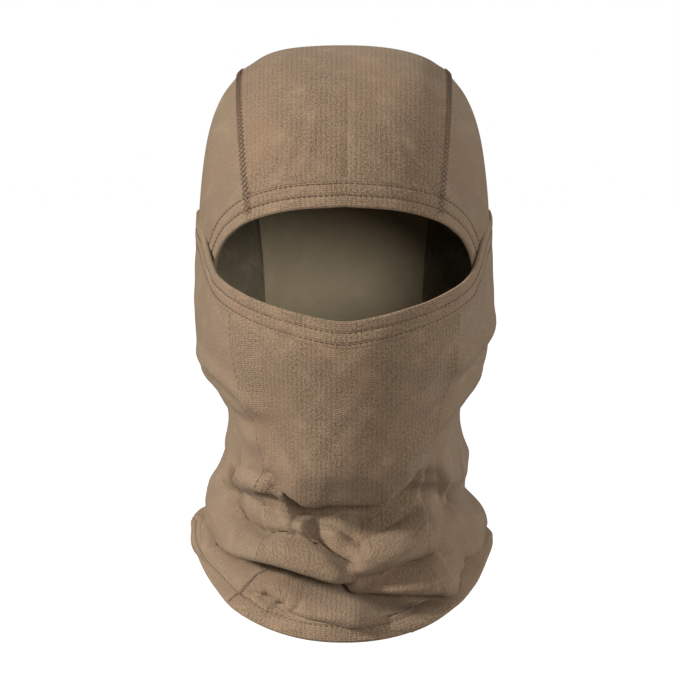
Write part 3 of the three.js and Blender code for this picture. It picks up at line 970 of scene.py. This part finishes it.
def hoodSidePlace(side):
    # a patch between the face opening, the crown seam's front and rear, and a lower edge
    cheekFrom = float(alongAtBrow(hood["panelHalf"](seamStart)))
    tuck = cloth["browHem"] - crown["frontTuck"]

    def seam(station):
        return hoodPoint(hood["panelHalf"](station), station)

    def cheek(t):
        return browPoint(mixed(1, cheekFrom, t), tuck)

    def top(t):
        return seam(mixed(seamStart, outer["napeSeam"], t))

    def rear(t):
        return seam(mixed(crownEnd, outer["napeSeam"], t))

    cheekEnd, rearEnd = cheek(np.array(0.0)), rear(np.array(0.0))
    topFront, topRear = top(np.array(0.0)), top(np.array(1.0))

    def bottom(t):
        y = mixed(cheekEnd[1], rearEnd[1], t)
        z = mixed(cheekEnd[2], hoodSide["lowerZ"](y), eased(0, 0.2, t))
        x = mixed(*hoodSide["lowerX"], eased(0.5, 1, t))
        return np.stack([x, y, mixed(z, rearEnd[2], eased(0.8, 1, t))], -1)

    def place(u, v):
        uu, vv = u[..., None], v[..., None]
        edges = cheek(v) * (1 - uu) + rear(v) * uu + bottom(u) * (1 - vv) + top(u) * vv
        corners = (cheekEnd * (1 - uu) * (1 - vv) + rearEnd * uu * (1 - vv)
                   + topFront * (1 - uu) * vv + topRear * uu * vv)
        return onHood(onHood(edges - corners)) * np.array([side, 1, 1])

    return place


def hoodSideGrow(_, surface):
    # the raised seam, a slow sway, rumples behind the mask and the waist under the jaw
    x, y, z = np.abs(surface[..., 0]), surface[..., 1], surface[..., 2]
    station = np.where(z >= 0, np.degrees(np.arctan2(z, -y)), 180 - z / hood["backStep"])
    fromSeam = (x - hood["panelHalf"](clamp(station, 25, 225))) / hoodSide["seamSlope"]
    sway = hoodSide["sway"]["high"] * np.sin(y * 0.07 + 1) * np.sin(z * 0.06 + 2)
    gathers = np.sin(z * 0.16 + y * 0.06) + 0.7 * np.sin(z * 0.31 - y * 0.09 + 2)
    gathers = gathers * (0.6 + 0.4 * np.sin(z * 0.043 + 1.3))
    rumple = hoodSide["rumple"]
    gathers = gathers * eased(*rumple["behind"], y) * (1 - eased(*rumple["below"], z))
    loose = (sway + rumple["high"] * gathers) * eased(*hoodSide["sway"]["from"], fromSeam)
    pinched = jaw["pinch"] * np.exp(-((z - jaw["height"]) / jaw["tall"])**2)
    under = hoodSide["covered"]
    covered = under["deep"] * np.exp(-((z - under["height"]) / under["tall"])**2)
    covered = covered * (1 - eased(*under["until"], y))
    drawn = (pinched + covered) * (1 - eased(*hoodSide["pinchUntil"], y))
    return seamRidge(fromSeam) + loose - drawn


def addHoodSide(label, side):
    cells = (cellsFor(hoodSide["cells"]), cellsFor(hoodSide["cells"]))
    name = f"hood_side_{label}"
    piece = panel(name, hoodSidePlace(side), cells, (jerseyKnit, shadedInsideSide), hoodSideGrow)
    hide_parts(name)
    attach(piece, "hood")


addCrownPanel()
for sideLabel, sideSign in bothSides:
    addHoodSide(sideLabel, sideSign)

print("hems")
hem = {
    "puff": 0.3,
    "flatPuff": 0.4,
    "groove": 0.45,
    "grooveWide": 0.9,
    "rowNear": 6.5,
    "rowFar": 13,
    "neckRow": 9,
    "round": 1.2,
    "layer": 0.95,
    "noseLayer": 0.75,
    "fade": 1.6,
    "faded": 0.1,
    "steps": {"top": 26, "nose": 6, "under": 8},
    "vRound": 3.5,
    "edgeDown": 0.4,
}
hemKnits = (hemKnit, insideKnit, jerseyKnit)
bothRows = (hem["rowNear"], hem["rowFar"])


def hemTop(width, rows, surface):
    # the outer layer, from its hidden edge to the turn, with a groove under each stitch row
    steps = hem["steps"]["top"]
    top = []
    for i in range(steps + 1):
        at = width + (hem["round"] - width) * i / steps
        puff = hem["puff"] * (1 if at < rows[-1] else hem["flatPuff"])
        height = surface + puff
        for row in rows:
            height -= (hem["groove"] + puff) * math.exp(-((at - row) / hem["grooveWide"])**2)
        fading = (at - (width - hem["fade"])) / hem["fade"]
        if fading > 0:
            height = mixed(height, surface - hem["faded"], fading)
        top.append((at, height))
    return top


def hemProfile(width, rows, surface):
    # A strip of knit folded back under itself at the edge. Each entry is the distance from the
    # edge, the height over the surface and whether it lies inside the fold.
    steps = hem["steps"]
    base = surface - cloth["hemThick"]
    top = hemTop(width, rows, surface)
    middle = (surface + hem["puff"] + base) / 2
    bow = (surface + hem["puff"] - base) / 2
    turns = [math.pi * i / steps["nose"] for i in range(1, steps["nose"])]
    nose = [(hem["round"] * (1 - math.sin(turn)), middle + bow * math.cos(turn)) for turn in turns]
    reach = (width - hem["round"]) / steps["under"]
    path = top + nose + [(hem["round"] + reach * i, base) for i in range(steps["under"] + 1)]
    inner = []
    for i, (at, height) in enumerate(path):
        before, after = path[max(0, i - 1)], path[min(len(path) - 1, i + 1)]
        across, rise = after[0] - before[0], after[1] - before[1]
        onNose = len(top) <= i < len(top) + len(nose)
        deep = hem["layer"] * (hem["noseLayer"] if onNose else 1) / math.hypot(across, rise)
        inner.append((at - rise * deep, height + across * deep, 1))
    return [(at, height, 0) for at, height in path] + inner[::-1]


stitch = {"pitch": 3.1, "fill": 0.74, "radius": 0.30, "sink": 0.35, "beside": 0.7, "places": 700}


def rowOn(point, distance, lift, start, end):
    # a line and its normals at one distance from a hem's edge
    u = np.linspace(start, end, stitch["places"])
    beside = distance + stitch["beside"] * np.array([-1, 0, 1])
    grid = point(*np.meshgrid(u, beside, indexing="ij"))
    normal = gridNormals(grid, False)
    return grid[:, 1] + normal[:, 1] * lift, normal[:, 1]


def stitchRow(name, point, distance, lift, material, start=0.0, end=1.0):
    path, normals = rowOn(point, distance, lift, start, end)
    lines, ups = dashes(path, normals, stitch["pitch"], stitch["fill"], stitch["sink"])
    piece = threads(name, lines, ups, stitch["radius"], material)
    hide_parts(name)
    return piece


def bendMask(piece):
    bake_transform(piece)


def drawNeck(piece):
    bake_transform(piece)


browHem = {"cells": 330, "surface": 1.2, "stitches": 1.15, "textured": 0.19,
           "ends": (0.02, 0.98), "flat": (0.036, 0.340)}


def addBrowHem():
    profile = hemProfile(cloth["browHem"], bothRows, browHem["surface"])
    piece = section("brow_hem", browPoint, cellsFor(browHem["cells"]), profile, hemKnits,
                    lambda u: np.abs(u - 0.5) > browHem["textured"])
    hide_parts("brow_hem")
    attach(piece, "hood")
    for name, distance in zip(("brow_stitches_lower", "brow_stitches_upper"), bothRows):
        row = stitchRow(name, browPoint, distance, browHem["stitches"], brownThread,
                        *browHem["ends"])
        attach(row, "hood")


def maskEdge(angle):
    # a soft V, rounded at its lowest point
    return outer["maskTop"](np.sqrt(angle**2 + hem["vRound"]**2)) - hem["edgeDown"]


def maskRim(u, down):
    angle = mixed(-outer["rearSeam"], outer["rearSeam"], u)
    return outerPoint(angle, maskEdge(angle) - down)


maskHem = {"cells": 400, "surface": 1.4, "stitches": 1.3, "textured": 0.225,
           "ends": (0.01, 0.99), "flat": (0.034, 0.360)}


def addMaskHem():
    profile = hemProfile(cloth["maskHem"], bothRows, maskHem["surface"])
    piece = section("mask_hem", maskRim, cellsFor(maskHem["cells"]), profile, hemKnits,
                    lambda u: np.abs(u - 0.5) > maskHem["textured"])
    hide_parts("mask_hem")
    bendMask(piece)
    for name, distance in zip(("mask_stitches_upper", "mask_stitches_lower"), bothRows):
        row = stitchRow(name, maskRim, distance, maskHem["stitches"], brownThread,
                        *maskHem["ends"])
        bendMask(row)


def neckRim(u, up):
    angle = mixed(-180, 180, u)
    return outerPoint(angle, neckEdge(angle) + up)


neckHem = {"cells": 540, "surface": 1.3, "stitches": 1.2, "textured": 0.13,
           "flat": (0.028, 0.520)}


def addNeckHem():
    profile = hemProfile(cloth["neckHem"], (hem["neckRow"],), neckHem["surface"])
    piece = section("neck_hem", neckRim, cellsFor(neckHem["cells"]), profile, hemKnits,
                    lambda u: np.abs(u - 0.5) > neckHem["textured"], ring=True)
    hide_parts("neck_hem")
    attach(piece, "collar")
    row = stitchRow("neck_hem_stitches", neckRim, hem["neckRow"], neckHem["stitches"],
                    tonedThread)
    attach(row, "collar")


addBrowHem()
addMaskHem()
addNeckHem()

print("mask and neck panels")
outerPanels = {
    "tall": 105,
    "frontWide": 120,
    "maskSideWide": 90,
    "neckSideWide": 170,
    "backWide": 90,
    "middle": -45.0,
    "rounds": 5,
    "underHem": 1.2,
    "maskFront": (0.110, 0.118),
    "maskSide": (0.105, 0.122),
    "neckFront": (0.112, 0.124),
    "neckSide": (0.160, 0.062),
    "neckBack": (0.090, 0.075),
}


def underMaskHem(angle):
    return maskEdge(angle) - cloth["maskHem"] + outerPanels["underHem"]


def aboveNeckHem(angle):
    return neckEdge(angle) + cloth["neckHem"] - outerPanels["underHem"]


def seamLine(side):
    return lambda height: side * outer["frontSeam"](height)


def upright(angle):
    return lambda height: angle + height * 0


def outerPanelPlace(angles, heights):
    # a patch between two edges given by angle at a height, and two by height at an angle
    fromAngle, toAngle = angles
    lower, upper = heights

    def place(u, v):
        height = outerPanels["middle"]
        for _ in range(outerPanels["rounds"] + 1):
            angle = mixed(fromAngle(height), toAngle(height), u)
            height = mixed(lower(angle), upper(angle), v)
        return outerPoint(angle, height)

    return place


def outerPanel(name, angles, heights, wide, materials):
    cells = (cellsFor(wide), cellsFor(outerPanels["tall"]))
    return panel(name, outerPanelPlace(angles, heights), cells, materials)


def addMaskFront():
    piece = outerPanel("mask_front_panel", (seamLine(-1), seamLine(1)), (neckTop, underMaskHem),
                       outerPanels["frontWide"], (meshKnit, insideKnit))
    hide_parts("mask_front_panel", "chin_panel")
    bendMask(piece)


def addMaskSide(label, side):
    name = f"mask_side_{label}"
    angles = (seamLine(side), upright(side * outer["rearSeam"]))
    piece = outerPanel(name, angles, (neckTop, underMaskHem), outerPanels["maskSideWide"],
                       (jerseyKnit, shadedInsideSide))
    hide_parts(name, f"jaw_panel_{label}")
    bendMask(piece)


def addNeckFront():
    piece = outerPanel("neck_front_panel", (seamLine(-1), seamLine(1)), (aboveNeckHem, neckTop),
                       outerPanels["frontWide"], (meshKnit, insideKnit))
    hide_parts("neck_front_panel", "collar_front_panel")
    drawNeck(piece)


def addNeckSide(label, side):
    name = f"neck_side_{label}"
    angles = (seamLine(side), upright(side * outer["napeSeam"]))
    piece = outerPanel(name, angles, (aboveNeckHem, neckTop), outerPanels["neckSideWide"],
                       (jerseyKnit, shadedInsideSide))
    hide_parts(name, f"collar_side_{label}")
    drawNeck(piece)


def addNeckBack():
    angles = (upright(outer["napeSeam"]), upright(360 - outer["napeSeam"]))
    piece = outerPanel("neck_back_panel", angles, (aboveNeckHem, neckTop),
                       outerPanels["backWide"], (meshKnit, insideKnit))
    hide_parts("neck_back_panel", "collar_back_panel")
    drawNeck(piece)


addMaskFront()
for sideLabel, sideSign in bothSides:
    addMaskSide(sideLabel, sideSign)
addNeckFront()
for sideLabel, sideSign in bothSides:
    addNeckSide(sideLabel, sideSign)
addNeckBack()

print("seams")
seam = {
    "flatlock": {"pitch": 2.9, "half": 2.2, "radius": 0.25},
    "plain": {"pitch": 3.4, "fill": 0.7, "sink": 0.3, "radius": 0.2},
    "join": {"pitch": 1.9, "half": 0.9, "radius": 0.2, "lift": 0.5},
    "lift": 0.1,
    "rearLift": 0.05,
    "rearIn": 2.2,
    "rearFrom": -88,
    "rearTo": 33,
    "foot": 3,
}


def pathWithNormals(point, count, lift):
    # point(t, offset) gives places beside a seam, one millimetre to each side of it
    grid = point(*np.meshgrid(np.linspace(0, 1, count), np.array([-1.0, 0.0, 1.0]), indexing="ij"))
    normal = gridNormals(grid, False)
    return grid[:, 1] + normal[:, 1] * (cloth["thick"] + lift), normal[:, 1]


def plainSeam(nodes, path, normals):
    look = seam["plain"]
    lines, ups = dashes(path, normals, look["pitch"], look["fill"], look["sink"])
    piece = threads(nodes[0], lines, ups, look["radius"], tonedThread)
    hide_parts(*nodes)
    return piece


def addCrownSeam(label, side):
    def place(t, offset):
        station = mixed(seamFoot, crownEnd - seam["foot"], t)
        return hoodPoint(side * (hood["panelHalf"](station) + offset), station)

    look = seam["flatlock"]
    path, normals = pathWithNormals(place, 900, crown["ridge"]["high"] + seam["lift"])
    lines, ups = zigzags(path, normals, look["pitch"], look["half"])
    piece = threads(f"crown_seam_{label}", lines, ups, look["radius"], brownThread)
    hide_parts(f"crown_seam_{label}")
    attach(piece, "hood")


def besideFront(side, low, high):
    # places along the seams at the two sides of the front panels
    def place(t, offset):
        height = mixed(low, high, t)
        return outerPoint(side * (outer["frontSeam"](height) + offset / degreeWidth), height)

    return place


def addMaskSeam(label, side):
    place = besideFront(side, neckTop(np.array(42.0)), underMaskHem(46.0))
    path, normals = pathWithNormals(place, 400, seam["lift"])
    bendMask(plainSeam((f"mask_seam_{label}",), path, normals))


def addNeckSeam(label, side):
    place = besideFront(side, aboveNeckHem(np.array(47.0)), neckTop(np.array(38.0)))
    path, normals = pathWithNormals(place, 400, seam["lift"])
    drawNeck(plainSeam((f"neck_seam_{label}", f"collar_seam_{label}"), path, normals))


def addMaskSideSeam(label, side):
    def place(t, offset):
        angle = outer["rearSeam"] - seam["rearIn"] + offset / degreeWidth
        return outerPoint(side * angle, mixed(seam["rearFrom"], seam["rearTo"], t))

    path, normals = pathWithNormals(place, 300, seam["rearLift"])
    bendMask(plainSeam((f"mask_side_seam_{label}",), path, normals))


def addHemJoin():
    # the little seam that closes the neck hem, at the lower left
    angle = through([(0, -37), (0.35, -41), (0.7, -44), (1, -46.5)])
    height = through([(0, -161), (0.35, -167), (0.7, -173), (1, -180)])

    def place(t, offset):
        return outerPoint(angle(t) + offset / degreeWidth, height(t))

    look = seam["join"]
    path, normals = pathWithNormals(place, 120, look["lift"])
    lines, ups = zigzags(path, normals, look["pitch"], look["half"])
    piece = threads("hem_join_seam", lines, ups, look["radius"], tonedThread)
    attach(piece, "collar")


for sideLabel, sideSign in bothSides:
    addCrownSeam(sideLabel, sideSign)
    addMaskSeam(sideLabel, sideSign)
    addNeckSeam(sideLabel, sideSign)
    addMaskSideSeam(sideLabel, sideSign)
addHemJoin()

print("studio")
studio = {
    "distance": 2.7,
    "elevation": 5.0,
    "frameHeight": 0.3896,
    "aim": (-0.0023, 0.0, -0.037),
    "sensor": 36.0,
    "farthest": 50,
    "ambientAbove": 0.15,
    "ambientBelow": 0.06,
    "ambientFrom": -0.7,
    "backdrop": 1.0,
    "floorHeight": -0.5,
    "floorHalf": 9.0,
    "floorColour": (0.9, 0.9, 0.9, 1),
    "floorRoughness": 0.9,
    "floorGlow": 0.4,
    "white": (1, 1, 1, 1),
}
lights = {
    "key": {"sideways": -72, "upwards": 25, "strength": 3.75, "softness": 10},
    "front": {"sideways": 12, "upwards": 9, "strength": 1.5, "softness": 16},
    "rim": {"sideways": 112, "upwards": 12, "strength": 1.1, "softness": 30},
}


def addCamera():
    lens = bpy.data.cameras.new("camera")
    lens.sensor_width = studio["sensor"]
    lens.lens = studio["sensor"] * studio["distance"] / studio["frameHeight"]
    lens.clip_end = studio["farthest"]
    camera = bpy.data.objects.new("camera", lens)
    tilt = math.radians(studio["elevation"])
    aim = Vector(studio["aim"])
    camera.location = aim + Vector((0, -math.cos(tilt), math.sin(tilt))) * studio["distance"]
    camera.rotation_euler = (aim - camera.location).to_track_quat("-Z", "Y").to_euler()
    bpy.context.scene.collection.objects.link(camera)
    bpy.context.scene.camera = camera


def addLight(name, light):
    lamp = bpy.data.lights.new(name, "SUN")
    lamp.energy = light["strength"]
    lamp.angle = math.radians(light["softness"])
    turn = math.radians(light["sideways"])
    rise = math.radians(light["upwards"])
    towards = Vector((math.sin(turn) * math.cos(rise), -math.cos(turn) * math.cos(rise),
                      math.sin(rise)))
    thing = bpy.data.objects.new(name, lamp)
    thing.rotation_euler = (-towards).to_track_quat("-Z", "Y").to_euler()
    bpy.context.scene.collection.objects.link(thing)


def floorMaterial():
    material = bpy.data.materials.new("paleFloor")
    surface = Shader(material).tree.nodes["Principled BSDF"].inputs
    surface["Base Color"].default_value = studio["floorColour"]
    surface["Roughness"].default_value = studio["floorRoughness"]
    surface["Emission Color"].default_value = studio["white"]
    surface["Emission Strength"].default_value = studio["floorGlow"]
    return material


def addFloor():
    half = studio["floorHalf"]
    low = studio["floorHeight"]
    mesh = bpy.data.meshes.new("floor")
    corners = [(-half, -half, low), (half, -half, low), (half, half, low), (-half, half, low)]
    mesh.from_pydata(corners, [], [(0, 1, 2, 3)])
    mesh.materials.append(floorMaterial())
    floor = bpy.data.objects.new("floor", mesh)
    bpy.context.scene.collection.objects.link(floor)
    floor.visible_diffuse = False


def addWorld():
    # a dim room, brighter above, with a white backdrop where it is seen directly
    world = bpy.data.worlds.new("studio")
    shader = Shader(world)
    direction = shader.node("ShaderNodeTexCoord")
    height = shader.node("ShaderNodeSeparateXYZ", {}, (direction,)).output(2)
    room = shader.node("ShaderNodeMapRange", {}, {
        "Value": height, "From Min": studio["ambientFrom"],
        "To Min": studio["ambientBelow"], "To Max": studio["ambientAbove"]})
    seen = shader.node("ShaderNodeLightPath")
    strength = shader.node("ShaderNodeMix", {}, {"Factor": seen, "A": room,
                                                 "B": studio["backdrop"]})
    back = shader.tree.nodes["Background"].inputs
    back["Color"].default_value = studio["white"]
    shader.join(strength, back["Strength"])
    bpy.context.scene.world = world


addCamera()
addFloor()
addWorld()
for lightName, lightLook in lights.items():
    addLight(lightName, lightLook)
bpy.context.scene.view_settings.view_transform = "Standard"
